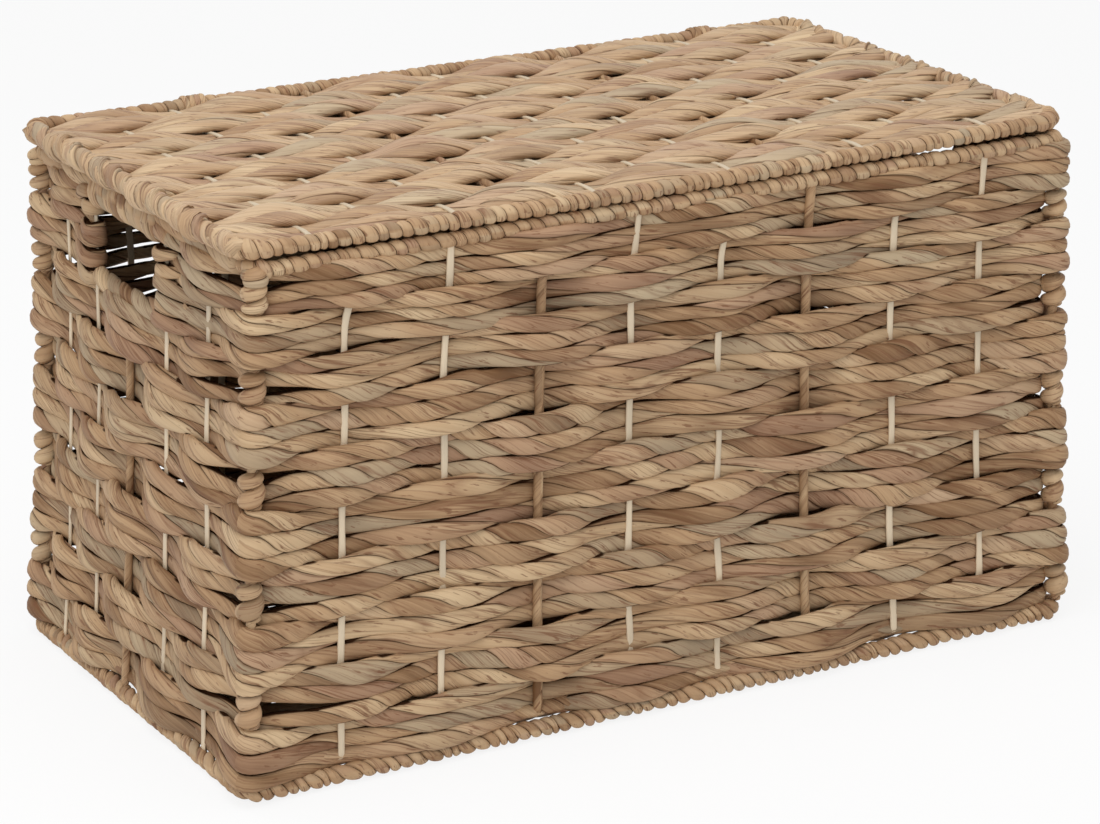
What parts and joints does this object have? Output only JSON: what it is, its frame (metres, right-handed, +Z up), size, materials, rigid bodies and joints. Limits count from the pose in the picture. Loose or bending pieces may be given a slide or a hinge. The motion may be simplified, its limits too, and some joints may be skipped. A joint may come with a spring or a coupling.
{
  "type": "woven lidded box",
  "caption": "Rectangular trunk woven from twisted plant-fibre rope over a wire frame, with hand holes in the short sides and a flat woven lid lashed along its back edge.",
  "frame": {"origin": "on the floor under the middle of the box", "axes": "+X along the length, -Y out of the front, +Z up"},
  "size_m": [0.617, 0.339, 0.348],
  "materials": {
    "rope": "matte twisted plant fibre",
    "strip": "pale split cane, satin",
    "leaf": "matte wound leaf",
    "wire": "plain drawn wire"
  },
  "bodies": {
    "box": {"wall_course_01": "rope", "wall_course_02": "rope", "wall_course_03": "rope", "wall_course_04": "rope", "wall_course_05": "rope", "wall_course_06": "rope", "wall_course_07": "rope", "wall_course_08": "rope", "wall_course_09_front": "rope", "wall_course_09_back": "rope", "wall_course_10_front": "rope", "wall_course_10_back": "rope", "long_stake_01": "strip", "long_stake_02": "strip", "long_stake_03": "leaf", "long_stake_04": "strip", "long_stake_05": "strip", "long_stake_06": "leaf", "long_stake_07": "strip", "long_stake_08": "strip", "left_stake_01": "strip", "left_stake_02": "strip", "left_stake_03": "leaf", "left_stake_04": "strip", "left_stake_05": "strip", "right_stake_01": "strip", "right_stake_02": "strip", "right_stake_03": "leaf", "right_stake_04": "strip", "right_stake_05": "strip", "corner_post_front_left": "rope", "corner_post_front_right": "rope", "corner_post_back_right": "rope", "corner_post_back_left": "rope", "bottom_rim_wire": "wire", "bottom_rim_wrap": "leaf", "top_rim_wire": "wire", "top_rim_wrap": "leaf", "handle_grip_left": "leaf", "handle_sill_left": "leaf", "handle_grip_right": "leaf", "handle_sill_right": "leaf", "base_weave": "rope", "hinge_lashing_left": "leaf", "hinge_lashing_right": "leaf"},
    "lid": {"lid_frame_wire": "wire", "lid_rim_front": "leaf", "lid_rim_back": "leaf", "lid_stake_01": "strip", "lid_stake_02": "strip", "lid_stake_03": "strip", "lid_stake_04": "leaf", "lid_stake_05": "strip", "lid_stake_06": "strip", "lid_stake_07": "strip", "lid_stake_08": "leaf", "lid_stake_09": "strip", "lid_stake_10": "strip", "lid_stake_11": "strip", "lid_weave": "rope"}
  },
  "joints": [
    {"name": "lid_hinge", "type": "hinge", "parent": "box", "child": "lid", "pos_m": [0, 0.146, 0.33887], "axis": [-1, 0, 0], "range_deg": [0, 110]}
  ]
}
